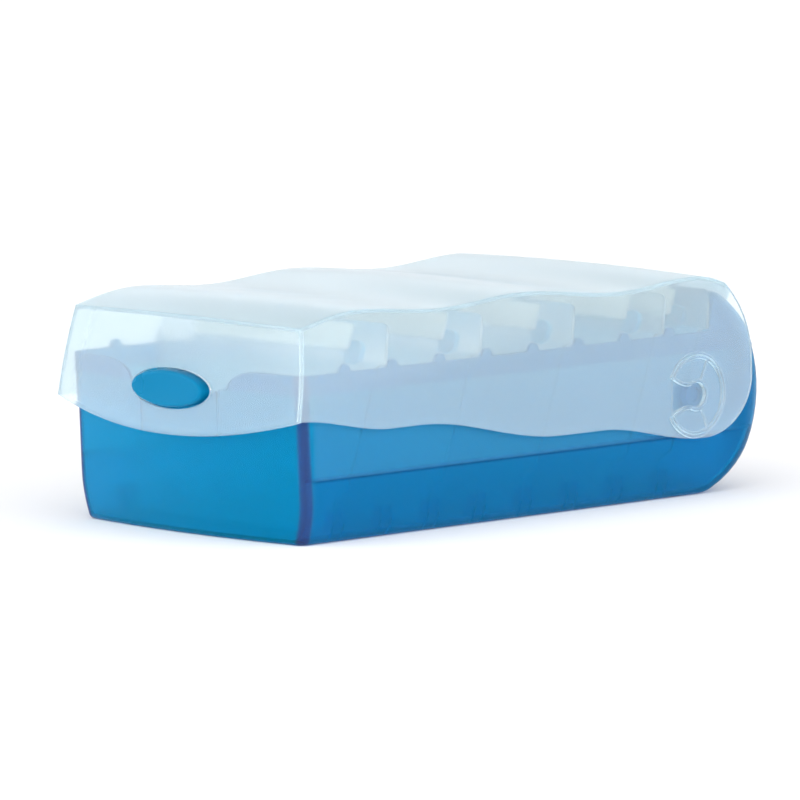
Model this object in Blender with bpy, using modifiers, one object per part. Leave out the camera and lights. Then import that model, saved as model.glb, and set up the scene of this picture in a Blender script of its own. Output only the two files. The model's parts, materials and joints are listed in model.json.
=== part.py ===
"""Index card box: a blue tray, a hinged clear lid, a push latch and five leaning dividers.

The frame's origin is the centre of the tray's flat underside. The front faces -Y, +X is the right-hand
side seen from the front, +Z is up. Every length is in metres.
"""

import math

import bmesh
import bpy
from mathutils import Matrix, Vector

# Tray
WALL = 0.0018
FLOOR = 0.0020
UNDERSIDE_LENGTH = 0.2294
FRONT_Y = -UNDERSIDE_LENGTH / 2
FLOOR_HALF = 0.0610
TRAY_HALF = 0.0648
TUCK_HEIGHT = 0.019
BAND_Z = 0.0588
BAND_STEP = 0.0004
RIM_Z = 0.0667
LEDGE_Z = 0.0248
LEDGE_STEP = 0.0015
FRONT_LEAN = 0.0040 / RIM_Z
BOW = 0.0051
FRONT_CORNER = 0.0040
REAR_CORNER = (0.0050, 0.0120)
CHEEK_TOP_Z = 0.0820
CHEEK_TAPER = 0.12

# Hinge
HINGE_Y = FRONT_Y + 0.2154
HINGE_Z = 0.0419
DRUM_RADIUS = 0.0450
PIN_RADIUS = 0.0050
PIN_DIMPLE = 0.0029
PIN_TIP_X = 0.0676
GAP = 0.0003

# Card slots: a floor slot and a rim tab at every pitch
SLOT_PITCH = 0.0263
FIRST_SLOT_Y = FRONT_Y + 0.0192
SLOT_COUNT = 8
SLOT_WIDTH = 0.0046
SLOT_RIB = (0.0055, 0.0012, 0.0120)
TAB_WIDTH = 0.0061
TAB_HEIGHT = 0.0031

# Lid
LID_WALL = 0.0016
LID_HALF = 0.0684
PINCH_FRONT = 0.0046
PINCH_REAR = 0.0012
PINCH_Z = 0.0450
PINCH_RISE = 0.0400
PINCH_RUN = 0.150
LID_FRONT_Y = FRONT_Y - 0.0034
LID_FRONT_TOP_Z = 0.0851
LID_FRONT_LOW_Z = 0.0495
LID_FRONT_CENTRE_Z = 0.0400
LID_FLARE = 0.0056
LID_RADIUS = 0.0479
LID_REAR_ANGLE = math.radians(32)
LID_CORNER_ANGLE = math.radians(67)
CROWN = 0.0014
LID_EDGE = 0.0018
WAVE_TOP = [(0.0286, 0.0902), (0.0715, 0.0878), (0.1172, 0.0907), (0.1725, 0.0869), (0.2154, 0.0898)]
WAVE_LOW = [(-0.0090, 0.0495), (0.0420, 0.0431), (0.0570, 0.0431), (0.1380, 0.0321), (0.1600, 0.0321),
            (0.2210, 0.0240)]
EGG_CENTRE_Z = 0.0480
EGG_HALF_WIDTH = 0.0282

# Hinge disc on each side of the lid
DISC_RADIUS = 0.0171
DISC_INNER = 0.0152
DISC_RIDGE = 0.0006
HINGE_SKIN = 0.0005
CHANNEL_HALF_NECK = 0.0042
CHANNEL_HALF_MOUTH = 0.0074
SPOKE_ANGLES = (math.radians(62), math.radians(-62))

# Latch
LATCH_ROOT_Z = 0.0405
LATCH_TOP_Z = 0.0576
LATCH_HALF = 0.0214
SLIT = 0.0005
DIP_Z = 0.0587
DIP_HALF = 0.0270
SHOULDER_HALF = 0.0430
BUTTON_Z = 0.0578
BUTTON_HALF = (0.0198, 0.0072)
BUTTON_FACE_Y = FRONT_Y - 0.0152
BUTTON_WALL = 0.0016
HOLE_HALF = (0.0220, 0.0080)

# Dividers
DIVIDER_THICKNESS = 0.0014
DIVIDER_LEAN = math.radians(19)
DIVIDER_SLOTS = (0, 2, 4, 6, 7)
DIVIDER_TOP_Z = 0.0829
BODY_HALF_LOW = 0.0535
BODY_HALF = 0.0596
FOOT_HALF = 0.0568
FOOT_HEIGHT = 0.0020
HEAD_HALF_LOW = 0.0643
HEAD_HALF_TOP = 0.0612
LABEL_SIZE = (0.086, 0.0105, 0.0004)
CLIP_SIZE = (0.0086, 0.0095, 0.0016)
CLIP_INSET = 0.0160


def clear_scene():
    """Removes every object, so the script starts from nothing."""
    for obj in list(bpy.data.objects):
        bpy.data.objects.remove(obj, do_unlink=True)


def new_collection(name):
    """A collection under the scene's own."""
    collection = bpy.data.collections.new(name)
    bpy.context.scene.collection.children.link(collection)
    return collection


def plastic(name, colour, roughness, alpha=1.0):
    """A moulded plastic or card material."""
    material = bpy.data.materials.new(name)
    material.use_nodes = True
    shader = material.node_tree.nodes["Principled BSDF"]
    shader.inputs["Base Color"].default_value = (*colour, 1.0)
    shader.inputs["Roughness"].default_value = roughness
    shader.inputs["Metallic"].default_value = 0.0
    shader.inputs["Alpha"].default_value = alpha
    material.diffuse_color = (*colour, alpha)
    return material


def object_from_bmesh(name, bm, collection, material=None):
    """Turns a bmesh into a linked object, with outward normals and smooth shading kept off flat edges."""
    bmesh.ops.recalc_face_normals(bm, faces=bm.faces)
    mesh = bpy.data.meshes.new(name)
    bm.to_mesh(mesh)
    bm.free()
    mesh.shade_smooth()
    mesh.set_sharp_from_angle(angle=math.radians(35))
    obj = bpy.data.objects.new(name, mesh)
    collection.objects.link(obj)
    if material:
        mesh.materials.append(material)
    return obj


def as_cutter(obj):
    """Marks a guide shape, which isn't part of the model."""
    obj.hide_render = True
    obj.display_type = "WIRE"
    return obj


def boolean(obj, operand, operation):
    """Adds an exact boolean with another object."""
    modifier = obj.modifiers.new(f"{operation.lower()}_{operand.name}", "BOOLEAN")
    modifier.operation = operation
    modifier.solver = "EXACT"
    modifier.object = operand


def move_origin(obj, point):
    """Puts the object's origin on a joint axis without moving its shape."""
    obj.data.transform(Matrix.Translation(-point))
    obj.location = point


def loft(name, rings, collection, material=None):
    """A closed solid through rings of equal length, listed from the bottom up."""
    bm = bmesh.new()
    rows = [[bm.verts.new(point) for point in ring] for ring in rings]
    for low, high in zip(rows, rows[1:]):
        for i in range(len(low)):
            j = (i + 1) % len(low)
            bm.faces.new((low[i], low[j], high[j], high[i]))
    bm.faces.new(list(reversed(rows[0])))
    bm.faces.new(rows[-1])
    return object_from_bmesh(name, bm, collection, material)


def flat_plate(name, outline, thickness, placement, collection, material=None):
    """A plate cut to an outline in the XY plane, then moved by a placement matrix."""
    curve = bpy.data.curves.new(name, "CURVE")
    curve.dimensions = "2D"
    curve.fill_mode = "BOTH"
    curve.extrude = thickness / 2
    spline = curve.splines.new("POLY")
    spline.points.add(len(outline) - 1)
    for point, (x, y) in zip(spline.points, outline):
        point.co = (x, y, 0.0, 1.0)
    spline.use_cyclic_u = True
    guide = bpy.data.objects.new(name + "_outline", curve)
    collection.objects.link(guide)
    bpy.context.view_layer.update()
    evaluated = guide.evaluated_get(bpy.context.evaluated_depsgraph_get())
    bm = bmesh.new()
    bm.from_mesh(bpy.data.meshes.new_from_object(evaluated))
    bpy.data.objects.remove(guide, do_unlink=True)
    bmesh.ops.remove_doubles(bm, verts=bm.verts, dist=0.00001)
    bmesh.ops.transform(bm, matrix=placement, verts=bm.verts)
    return object_from_bmesh(name, bm, collection, material)


def box(bm, low, high):
    """Adds a box between two corners to a bmesh."""
    size = [b - a for a, b in zip(low, high)]
    centre = [(a + b) / 2 for a, b in zip(low, high)]
    matrix = Matrix.Translation(centre) @ Matrix.Diagonal((*size, 1.0))
    bmesh.ops.create_cube(bm, size=1.0, matrix=matrix)


def across(side):
    """Placement for an outline drawn in (y, z), whose plate stands across X."""
    return Matrix.Translation((side, 0, 0)) @ Matrix(((0, 0, 1, 0), (1, 0, 0, 0), (0, 1, 0, 0), (0, 0, 0, 1)))


def facing_front(y):
    """Placement for an outline drawn in (x, z), whose plate stands along Y."""
    return Matrix.Translation((0, y, 0)) @ Matrix.Rotation(math.radians(90), 4, "X")


def arc(centre, radii, start, end, count):
    """Points of an elliptical arc, both ends included, in the plane of centre."""
    points = []
    for i in range(count + 1):
        angle = start + (end - start) * i / count
        points.append((centre[0] + radii[0] * math.cos(angle), centre[1] + radii[1] * math.sin(angle)))
    return points


def ease(t):
    """A half cosine wave from 0 to 1."""
    return 0.5 - 0.5 * math.cos(math.pi * min(max(t, 0.0), 1.0))


def wave(distance, crests):
    """Height of a wave that runs level at each (distance, height) in crests."""
    for (start, low), (end, high) in zip(crests, crests[1:]):
        if distance <= end:
            return low + (high - low) * ease((distance - start) / (end - start))
    return crests[-1][1]


# ---------------------------------------------------------------- tray

def tray_half(z):
    """Half-width of the tray's outside: tucked in at the floor, stepped out at the rim band."""
    if z < TUCK_HEIGHT:
        return TRAY_HALF - (TRAY_HALF - FLOOR_HALF) * (1 - z / TUCK_HEIGHT) ** 2
    if z > RIM_Z:
        return TRAY_HALF - CHEEK_TAPER * (z - RIM_Z)
    return TRAY_HALF - BAND_STEP * (z - TUCK_HEIGHT) / (BAND_Z - TUCK_HEIGHT)


def tray_ring(z, inset=0.0, banded=False):
    """Plan outline of the tray at one height: bowed front, straight sides, rear on the hinge drum."""
    half = (TRAY_HALF if banded and z <= RIM_Z else tray_half(z)) - inset
    front = FRONT_Y - FRONT_LEAN * z + min(inset, WALL)
    rear = HINGE_Y + math.sqrt((DRUM_RADIUS - inset) ** 2 - (z - HINGE_Z) ** 2)
    corner = FRONT_CORNER - inset
    straight = half - corner
    bow_steps = 10
    bowed = []
    for i in range(bow_steps + 1):
        x = straight * (2 * i / bow_steps - 1)
        bowed.append((x, front - BOW * (1 - (x / half) ** 2)))
    front_end = bowed[-1][1] + corner
    right_front = arc((straight, front_end), (corner, corner), -math.pi / 2, 0, 3)[1:]
    width, length = (radius - inset for radius in REAR_CORNER)
    length *= min(0.5 + 0.5 * z / HINGE_Z, 1.0)
    right_rear = arc((half - width, rear - length), (width, length), 0, math.pi / 2, 5)
    right = right_front + right_rear
    left = [(-x, y) for x, y in reversed(right)]
    return [Vector((x, y, z)) for x, y in bowed + right + left]


def drum_heights(bottom, top, steps):
    """Heights between bottom and top, evenly spread round the drum."""
    low = math.asin((bottom - HINGE_Z) / DRUM_RADIUS)
    high = math.asin((top - HINGE_Z) / DRUM_RADIUS)
    return [HINGE_Z + DRUM_RADIUS * math.sin(low + (high - low) * i / steps) for i in range(steps + 1)]


def tray_outside(collection, material):
    """The tray's outer body, before it is hollowed."""
    below = [tray_ring(z) for z in drum_heights(0.0, BAND_Z - BAND_STEP, 10)]
    above = [tray_ring(z, banded=True) for z in drum_heights(BAND_Z, RIM_Z, 2)]
    cheeks = [tray_ring(z) for z in drum_heights(RIM_Z, CHEEK_TOP_Z, 4)[1:]]
    return loft("tray", below + above + cheeks, collection, material)


def tray_hollow(cutters):
    """The space inside the tray, stepped in below the ledge."""
    thick = WALL + LEDGE_STEP
    below = [tray_ring(z, thick) for z in drum_heights(FLOOR, LEDGE_Z, 5)]
    band_z = BAND_Z + WALL
    above = [tray_ring(z, WALL) for z in drum_heights(LEDGE_Z, band_z - BAND_STEP, 6)]
    banded = [tray_ring(z, WALL, banded=True) for z in drum_heights(band_z, RIM_Z, 2)]
    cheeks = [tray_ring(z, WALL) for z in drum_heights(RIM_Z, CHEEK_TOP_Z + 0.0015, 4)[1:]]
    return as_cutter(loft("tray_hollow", below + above + banded + cheeks, cutters))


def rim_cutter(cutters):
    """Takes the walls down to the rim, up to the cheeks that stand behind the last divider."""
    foot_y = FIRST_SLOT_Y + SLOT_PITCH * DIVIDER_SLOTS[-1]
    lean = math.tan(DIVIDER_LEAN)
    back = (DIVIDER_THICKNESS / 2 + GAP) / math.cos(DIVIDER_LEAN)
    cheek_y = foot_y + lean * (RIM_Z - FLOOR) + back
    over = 0.02
    outline = [
        (FRONT_Y - over, RIM_Z),
        (cheek_y, RIM_Z),
        (cheek_y + lean * (CHEEK_TOP_Z + over - RIM_Z), CHEEK_TOP_Z + over),
        (FRONT_Y - over, CHEEK_TOP_Z + over),
    ]
    return as_cutter(flat_plate("rim_cutter", outline, 4 * TRAY_HALF, across(0), cutters))


def front_cutter(cutters):
    """The dip in the front rim and the slot that the latch tongue stands in."""
    shoulder = SHOULDER_HALF - DIP_HALF
    depth = RIM_Z - DIP_Z
    right = [(LATCH_HALF + SLIT, LATCH_ROOT_Z - GAP), (LATCH_HALF + SLIT, DIP_Z)]
    right += arc((SHOULDER_HALF, DIP_Z), (shoulder, depth), math.pi, math.pi / 2, 8)
    right.append((SHOULDER_HALF + 0.001, RIM_Z + 0.01))
    outline = right + [(-x, z) for x, z in reversed(right)]
    depth_y = 0.030
    placement = facing_front(FRONT_Y)
    return as_cutter(flat_plate("front_cutter", outline, depth_y, placement, cutters))


def slot_ribs(cutters):
    """Pairs of ribs at the side walls, which hold the dividers' feet."""
    depth, thickness, height = SLOT_RIB
    inner = BODY_HALF_LOW + 0.0010
    bm = bmesh.new()
    for k in range(SLOT_COUNT):
        centre = FIRST_SLOT_Y + SLOT_PITCH * k
        for side in (-1, 1):
            for way in (-1, 1):
                y = centre + way * (SLOT_WIDTH + thickness) / 2
                xs = sorted((side * inner, side * (inner + depth)))
                box(bm, (xs[0], y - thickness / 2, FLOOR / 2), (xs[1], y + thickness / 2, height))
    return as_cutter(object_from_bmesh("slot_ribs", bm, cutters))


def rim_tabs(cutters):
    """Round-topped tabs on both side rims, which the dividers' ears lean on."""
    tabs = []
    radius = TAB_WIDTH / 2
    sunk = 0.0010
    for k in range(SLOT_COUNT):
        centre = FIRST_SLOT_Y + SLOT_PITCH * k
        outline = [(centre - radius, RIM_Z - sunk), (centre + radius, RIM_Z - sunk)]
        outline += arc((centre, RIM_Z), (radius, TAB_HEIGHT), 0, math.pi, 6)
        for side in (-1, 1):
            placement = across(side * (TRAY_HALF - WALL / 2))
            tabs.append(as_cutter(flat_plate(f"rim_tab_{k}_{side}", outline, WALL * 0.8, placement, cutters)))
    return tabs


def trunnion(side, cutters):
    """A round boss on the side wall that the lid turns on, with a dimple in its end."""
    root_x = TRAY_HALF - WALL
    length = PIN_TIP_X - root_x
    turn = Matrix.Rotation(math.radians(90), 4, "Y")
    bm = bmesh.new()
    centre = Matrix.Translation((side * (root_x + length / 2), HINGE_Y, HINGE_Z))
    bmesh.ops.create_cone(bm, cap_ends=True, segments=24, radius1=PIN_RADIUS, radius2=PIN_RADIUS,
                          depth=length, matrix=centre @ turn)
    boss = as_cutter(object_from_bmesh(f"trunnion_{side}", bm, cutters))
    bm = bmesh.new()
    end = Matrix.Translation((side * PIN_TIP_X, HINGE_Y, HINGE_Z))
    bmesh.ops.create_cone(bm, cap_ends=True, segments=16, radius1=PIN_DIMPLE, radius2=PIN_DIMPLE,
                          depth=0.0024, matrix=end @ turn)
    dimple = as_cutter(object_from_bmesh(f"dimple_{side}", bm, cutters))
    return boss, dimple


def build_tray(collection, cutters, material):
    """The blue tray with its slots, tabs, latch opening and trunnions."""
    tray = tray_outside(collection, material)
    boolean(tray, tray_hollow(cutters), "DIFFERENCE")
    boolean(tray, rim_cutter(cutters), "DIFFERENCE")
    boolean(tray, front_cutter(cutters), "DIFFERENCE")
    boolean(tray, slot_ribs(cutters), "UNION")
    for tab in rim_tabs(cutters):
        boolean(tray, tab, "UNION")
    for side in (-1, 1):
        boss, dimple = trunnion(side, cutters)
        boolean(tray, boss, "UNION")
        boolean(tray, dimple, "DIFFERENCE")
    return tray


# ---------------------------------------------------------------- latch

def tongue_ring(z, inset):
    """Plan outline of the latch tongue at one height: a strip of the bowed front wall."""
    steps = 6
    front = FRONT_Y - FRONT_LEAN * z
    half = tray_half(z)
    xs = [LATCH_HALF * (2 * i / steps - 1) for i in range(steps + 1)]
    outer = [Vector((x, front - BOW * (1 - (x / half) ** 2), z)) for x in xs]
    inner = [Vector((x, front + inset - BOW * (1 - (x / half) ** 2), z)) for x in reversed(xs)]
    return outer + inner


def oval_prism(name, halves, low_y, high_y, cutters, segments=32):
    """An oval bar along Y, centred on the latch button."""
    placement = facing_front((low_y + high_y) / 2)
    step = 2 * math.pi / segments
    outline = arc((0.0, BUTTON_Z), halves, step / 2, 2 * math.pi - step / 2, segments - 1)
    return as_cutter(flat_plate(name, outline, high_y - low_y, placement, cutters))


def build_latch(collection, cutters, material):
    """The springy tongue in the front wall with the oval push button on it."""
    heights = [LATCH_ROOT_Z + (LATCH_TOP_Z - LATCH_ROOT_Z) * i / 4 for i in range(5)]
    latch = loft("latch_tongue", [tongue_ring(z, WALL) for z in heights], collection, material)
    back_y = FRONT_Y - FRONT_LEAN * BUTTON_Z - BOW + WALL
    boolean(latch, oval_prism("button_body", BUTTON_HALF, BUTTON_FACE_Y, back_y - 0.0009, cutters), "UNION")
    hollow = [half - BUTTON_WALL for half in BUTTON_HALF]
    boolean(latch, oval_prism("button_hollow", hollow, BUTTON_FACE_Y + BUTTON_WALL, back_y + 0.005, cutters),
            "DIFFERENCE")
    return latch


# ---------------------------------------------------------------- lid

def lid_half(y, z):
    """Half-width of the lid's outside, drawn in towards the top."""
    run = min(max((y - FRONT_Y) / PINCH_RUN, 0.0), 1.0)
    pinch = PINCH_FRONT + (PINCH_REAR - PINCH_FRONT) * run
    lift = max(z - PINCH_Z, 0.0) / PINCH_RISE
    return LID_HALF - pinch * lift ** 2


def lid_front(z):
    """Y of the lid's front corners at one height."""
    return LID_FRONT_Y - LID_FLARE * (LID_FRONT_TOP_Z - z) / (LID_FRONT_TOP_Z - LID_FRONT_LOW_Z)


def lid_column(across_share, steps, turns):
    """(y, z) points over the lid, front to rear, at a share of its half-width (0 centre, 1 side edge)."""
    bulge = 1 - across_share ** 2
    crests = [(FRONT_Y + distance, height) for distance, height in WAVE_TOP]
    first_y, first_z = crests[0]
    points = []
    for i in range(steps):
        y = LID_FRONT_Y + (HINGE_Y - LID_FRONT_Y) * i / steps
        if y < first_y:
            rise = (y - LID_FRONT_Y) / (first_y - LID_FRONT_Y)
            z = LID_FRONT_TOP_Z + (first_z - LID_FRONT_TOP_Z) * math.sin(rise * math.pi / 2)
            y -= BOW * bulge * (1 - rise)
        else:
            z = wave(y, crests)
        points.append((y, z + CROWN * bulge))
    end_angle = LID_REAR_ANGLE + (LID_CORNER_ANGLE - LID_REAR_ANGLE) * across_share ** 4
    for i in range(turns + 1):
        angle = math.pi / 2 - (math.pi / 2 - end_angle) * i / turns
        radius = LID_RADIUS + CROWN * bulge * (1 - i / turns)
        points.append((HINGE_Y + radius * math.cos(angle), HINGE_Z + radius * math.sin(angle)))
    return points


def lid_low_edge(steps, turns):
    """(y, z) along the lower side edge, one point for each point of lid_column."""
    crests = [(FRONT_Y + distance, height) for distance, height in WAVE_LOW]
    start_y = lid_front(LID_FRONT_LOW_Z)
    end_y = crests[-1][0]
    points = [(start_y, LID_FRONT_LOW_Z)]
    for i in range(1, steps):
        y = start_y + (end_y - start_y) * i / steps
        points.append((y, wave(y, crests)))
    radii = (EGG_HALF_WIDTH, EGG_CENTRE_Z - crests[-1][1])
    egg_turns = turns * 2 // 3
    points += arc((end_y, EGG_CENTRE_Z), radii, -math.pi / 2, 0, egg_turns)
    corner_y = HINGE_Y + LID_RADIUS * math.cos(LID_CORNER_ANGLE)
    corner_z = HINGE_Z + LID_RADIUS * math.sin(LID_CORNER_ANGLE)
    rest = turns - egg_turns
    for i in range(1, rest + 1):
        y = end_y + EGG_HALF_WIDTH + (corner_y - end_y - EGG_HALF_WIDTH) * (i / rest) ** 2.7
        points.append((y, EGG_CENTRE_Z + (corner_z - EGG_CENTRE_Z) * i / rest))
    return points


def lid_surface(steps, turns, columns, rows):
    """The lid's outer skin as one open surface: top, rear shell, front and both sides."""
    bm = bmesh.new()
    spread = [2 * j / columns - 1 for j in range(columns + 1)]
    edge = lid_column(1.0, steps, turns)
    low_edge = lid_low_edge(steps, turns)
    top = [[bm.verts.new((t * lid_half(y, z), y, z)) for y, z in lid_column(abs(t), steps, turns)]
           for t in spread]
    front = []
    for t, column in zip(spread, top):
        bulge = 1 - t * t
        high = LID_FRONT_TOP_Z + CROWN * bulge
        low = LID_FRONT_LOW_Z + (LID_FRONT_CENTRE_Z - LID_FRONT_LOW_Z) * bulge
        down = [column[0]]
        for r in range(1, rows + 1):
            z = high + (low - high) * r / rows
            y = lid_front(z)
            down.append(bm.verts.new((t * lid_half(y, z), y - BOW * bulge, z)))
        front.append(down)
    sides = []
    for sign, column in ((-1, top[0]), (1, top[-1])):
        side = []
        for vertex, (y0, z0), (y1, z1) in zip(column, edge, low_edge):
            down = [vertex]
            for r in range(1, rows + 1):
                y = y0 + (y1 - y0) * r / rows
                z = z0 + (z1 - z0) * r / rows
                down.append(bm.verts.new((sign * lid_half(y, z), y, z)))
            side.append(down)
        sides.append(side)
    for grid in [top, front] + sides:
        for near, far in zip(grid, grid[1:]):
            for k in range(len(near) - 1):
                bm.faces.new((near[k], near[k + 1], far[k + 1], far[k]))
    bmesh.ops.remove_doubles(bm, verts=bm.verts, dist=0.00002)
    return bm


def hinge_disc(side, cutters):
    """The raised ring and spokes round the lid's hinge eye."""
    x = side * (LID_HALF - LID_WALL / 4)
    thickness = LID_WALL / 2 + 2 * DISC_RIDGE
    full = 2 * math.pi * (1 - 1 / 40)
    rim = flat_plate(f"disc_rim_{side}", arc((HINGE_Y, HINGE_Z), (DISC_RADIUS,) * 2, 0, full, 39), thickness,
                     across(x), cutters)
    bore = flat_plate(f"disc_bore_{side}", arc((HINGE_Y, HINGE_Z), (DISC_INNER,) * 2, 0, full, 39),
                      4 * thickness, across(x), cutters)
    boolean(rim, as_cutter(bore), "DIFFERENCE")
    spokes = []
    for n, angle in enumerate(SPOKE_ANGLES):
        along = Vector((math.cos(angle), math.sin(angle)))
        off = Vector((-along.y, along.x)) * 0.0005
        inner = along * (PIN_RADIUS + 0.0015)
        outer = along * (DISC_INNER + 0.0008)
        corners = [inner - off, outer - off, outer + off, inner + off]
        outline = [(HINGE_Y + c.x, HINGE_Z + c.y) for c in corners]
        spokes.append(as_cutter(flat_plate(f"spoke_{side}_{n}", outline, thickness, across(x), cutters)))
    return [as_cutter(rim)] + spokes


def hinge_slot(side, cutters):
    """The pocket that turns on the trunnion, with the channel that guides the lid onto it."""
    eye = PIN_RADIUS + GAP
    neck = math.asin(CHANNEL_HALF_NECK / eye)
    outline = arc((HINGE_Y, HINGE_Z), (eye, eye), -math.pi + neck, math.pi - neck, 24)
    mouth_y = HINGE_Y - math.sqrt(DISC_INNER ** 2 - CHANNEL_HALF_MOUTH ** 2)
    outline += [(mouth_y, HINGE_Z + CHANNEL_HALF_MOUTH), (mouth_y, HINGE_Z - CHANNEL_HALF_MOUTH)]
    depth = 0.004
    centre = side * (LID_HALF - HINGE_SKIN - depth / 2)
    return as_cutter(flat_plate(f"hinge_slot_{side}", outline, depth, across(centre), cutters))


def build_lid(collection, cutters, material):
    """The clear lid: a skin given thickness, with the latch hole and the hinge discs."""
    lid = object_from_bmesh("lid", lid_surface(27, 9, 10, 5), collection, material)
    bevel = lid.modifiers.new("soft_edges", "BEVEL")
    bevel.width = LID_EDGE
    bevel.segments = 2
    bevel.limit_method = "ANGLE"
    bevel.angle_limit = math.radians(45)
    solidify = lid.modifiers.new("wall", "SOLIDIFY")
    solidify.thickness = LID_WALL
    solidify.offset = -1.0
    solidify.use_even_offset = True
    low_y = FRONT_Y - 0.030
    boolean(lid, oval_prism("latch_hole", HOLE_HALF, low_y, FRONT_Y - 0.0045, cutters), "DIFFERENCE")
    for side in (-1, 1):
        for ridge in hinge_disc(side, cutters):
            boolean(lid, ridge, "UNION")
        boolean(lid, hinge_slot(side, cutters), "DIFFERENCE")
    move_origin(lid, Vector((0.0, HINGE_Y, HINGE_Z)))
    return lid


# ---------------------------------------------------------------- dividers

def divider_outline():
    """T outline in (x, distance up the plate): narrow between the ribs, wide above, ears over the rim."""
    slope = math.cos(DIVIDER_LEAN)
    foot = GAP
    ear = (RIM_Z + GAP - FLOOR) / slope + DIVIDER_THICKNESS * math.tan(DIVIDER_LEAN) / 2 + GAP
    top = (DIVIDER_TOP_Z - FLOOR) / slope
    neck = 0.0024
    corner = 0.0020
    above_ribs = SLOT_RIB[2] / slope + 0.0025
    right = [(FOOT_HALF, foot), (FOOT_HALF, foot + FOOT_HEIGHT), (BODY_HALF_LOW, foot + FOOT_HEIGHT + 0.002)]
    right += [(BODY_HALF_LOW, above_ribs - 0.0005), (BODY_HALF, above_ribs + 0.0030), (BODY_HALF, ear - neck)]
    right += [(BODY_HALF + neck - neck * math.cos(a), ear - neck + neck * math.sin(a))
              for a in (math.pi / 8, math.pi / 4, 3 * math.pi / 8, math.pi / 2)]
    right += [(HEAD_HALF_LOW, ear)]
    right += arc((HEAD_HALF_TOP - corner, top - corner), (corner, corner), 0.1, math.pi / 2, 3)
    return right + [(-x, v) for x, v in reversed(right)]


def build_divider(number, slot, collection, materials):
    """One frosted plate with its label and marker clip, leaning back in its floor slot."""
    foot_y = FIRST_SLOT_Y + SLOT_PITCH * slot
    upright = Matrix.Rotation(math.radians(90), 4, "X")
    lean = Matrix.Rotation(-DIVIDER_LEAN, 4, "X")
    place = Matrix.Translation((0.0, foot_y, FLOOR)) @ lean @ upright
    name = f"divider_{number}"
    divider = flat_plate(name, divider_outline(), DIVIDER_THICKNESS, place, collection, materials["frosted"])
    axis = Vector((0.0, foot_y, FLOOR))

    def pad(suffix, centre, size, in_front, material):
        width, height, thickness = size
        offset = DIVIDER_THICKNESS / 2 + GAP + thickness / 2
        across_plate = place @ Matrix.Translation((0, 0, offset if in_front else -offset))
        w, h, corner = width / 2, height / 2, 0.0008
        corners = ((1, 1, 0), (-1, 1, 1), (-1, -1, 2), (1, -1, 3))
        outline = []
        for sx, sy, turn in corners:
            middle = (centre[0] + sx * (w - corner), centre[1] + sy * (h - corner))
            outline += arc(middle, (corner, corner), turn * math.pi / 2, (turn + 1) * math.pi / 2, 2)
        piece = flat_plate(f"{name}_{suffix}", outline, thickness, across_plate, collection, material)
        move_origin(piece, axis)
        piece.location = (0.0, 0.0, 0.0)
        piece.parent = divider
        return piece

    move_origin(divider, axis)
    top = (DIVIDER_TOP_Z - FLOOR) / math.cos(DIVIDER_LEAN)
    rim = (RIM_Z - FLOOR) / math.cos(DIVIDER_LEAN)
    pad("label", (0.0, top - 0.0015 - LABEL_SIZE[1] / 2), LABEL_SIZE, True, materials["card"])
    clip_x = HEAD_HALF_LOW - CLIP_INSET - CLIP_SIZE[0] / 2
    pad("clip", (clip_x, rim + CLIP_SIZE[1] / 2), CLIP_SIZE, False, materials["blue"])
    return divider


def main():
    """Builds every sub-part of the card box."""
    clear_scene()
    collection = new_collection("card_index_box")
    cutters = new_collection("cutters")
    materials = {
        "blue": plastic("blue_plastic", (0.010, 0.270, 0.560), 0.35),
        "clear": plastic("clear_frosted", (0.780, 0.870, 0.930), 0.40, 0.35),
        "frosted": plastic("frosted_plate", (0.720, 0.800, 0.850), 0.45, 0.60),
        "card": plastic("label_card", (0.900, 0.880, 0.780), 0.80),
    }
    build_tray(collection, cutters, materials["blue"])
    build_latch(collection, cutters, materials["blue"])
    build_lid(collection, cutters, materials["clear"])
    for number, slot in enumerate(DIVIDER_SLOTS, start=1):
        build_divider(number, slot, collection, materials)
    bpy.context.view_layer.update()


main()
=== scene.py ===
"""Looks for the card index box: fine moulded shells, translucent plastics and soft studio light."""

import json
import math

import bmesh
import bpy
from mathutils import Matrix, Vector


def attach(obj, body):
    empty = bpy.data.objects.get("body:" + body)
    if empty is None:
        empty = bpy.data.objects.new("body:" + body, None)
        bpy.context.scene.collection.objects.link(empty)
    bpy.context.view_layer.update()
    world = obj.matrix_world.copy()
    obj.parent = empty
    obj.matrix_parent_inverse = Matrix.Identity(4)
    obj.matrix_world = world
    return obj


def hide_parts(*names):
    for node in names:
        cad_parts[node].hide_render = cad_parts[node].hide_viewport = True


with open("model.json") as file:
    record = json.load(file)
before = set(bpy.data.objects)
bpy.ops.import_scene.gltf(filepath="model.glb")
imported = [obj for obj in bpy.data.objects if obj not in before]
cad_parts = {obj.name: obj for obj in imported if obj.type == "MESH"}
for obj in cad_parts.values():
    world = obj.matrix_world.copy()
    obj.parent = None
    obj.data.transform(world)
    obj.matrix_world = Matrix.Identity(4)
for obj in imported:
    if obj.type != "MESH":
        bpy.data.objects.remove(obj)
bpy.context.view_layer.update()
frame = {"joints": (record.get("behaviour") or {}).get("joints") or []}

JOINTS = {joint["name"]: joint for joint in frame["joints"]}
HINGE = Vector(JOINTS["lid_hinge"]["pos_m"])
FEET = [Vector(JOINTS[f"divider_{n}_tilt"]["pos_m"]) for n in range(1, 6)]

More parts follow.
